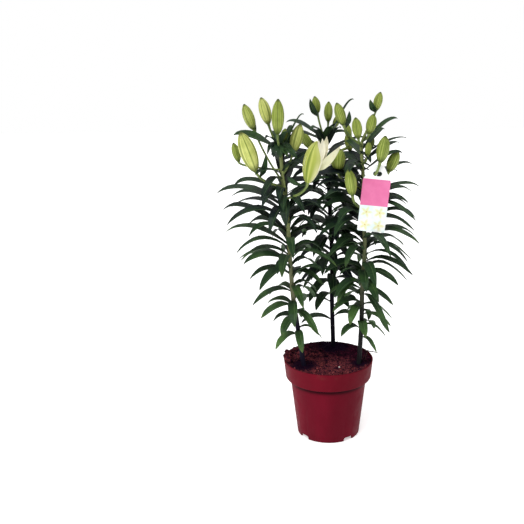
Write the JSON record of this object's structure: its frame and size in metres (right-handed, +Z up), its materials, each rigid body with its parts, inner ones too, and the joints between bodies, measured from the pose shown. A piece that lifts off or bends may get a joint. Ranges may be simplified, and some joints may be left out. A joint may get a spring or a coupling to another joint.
{
  "type": "potted lily plant",
  "caption": "Oriental lily in bud, grown from bulbs in a round red plastic nursery pot: arching glossy leaves, pale green buds, one opening bloom and a hanging plant label",
  "frame": {"origin": "centre of the pot's underside, on the surface that the pot stands on", "axes": "+Z up along the pot's axis, -Y towards the front, where the label hangs, +X to the right seen from the front"},
  "size_m": [0.4058, 0.3078, 0.733],
  "materials": {
    "red_plastic": "satin, thin moulded plastic",
    "compost": "rough, crumbly peat compost",
    "twig_bark": "matte bark",
    "bulb_scales": "matte fleshy scales",
    "leaf_green": "glossy living leaf",
    "bud_green": "satin living bud",
    "petal_white": "satin petal",
    "label_plastic": "satin printed plastic card"
  },
  "bodies": {
    "root": {"pot": "red_plastic", "soil": "compost", "twig": "twig_bark", "bulb_left": "bulb_scales", "bulb_middle": "bulb_scales", "bulb_right": "bulb_scales", "leafy_stem_left": "leaf_green", "leafy_stem_middle": "leaf_green", "leafy_stem_right": "leaf_green", "opening_bloom": "petal_white", "label": "label_plastic", "bud_left_far_left": "bud_green", "bud_left_tall": "bud_green", "bud_left_front": "bud_green", "bud_left_large": "bud_green", "bud_left_behind_large": "bud_green", "bud_left_right": "bud_green", "bud_left_small": "bud_green", "bud_middle_left": "bud_green", "bud_middle_top": "bud_green", "bud_middle_small": "bud_green", "bud_middle_low_left": "bud_green", "bud_middle_right": "bud_green", "bud_middle_low_right": "bud_green", "bud_right_top": "bud_green", "bud_right_upper": "bud_green", "bud_right_front": "bud_green", "bud_right_far_left": "bud_green", "bud_right_outer": "bud_green", "bud_right_far_right": "bud_green", "bud_right_narrow": "bud_green", "bud_right_thin": "bud_green", "bud_right_broad": "bud_green", "bud_right_low": "bud_green"}
  },
  "joints": []
}
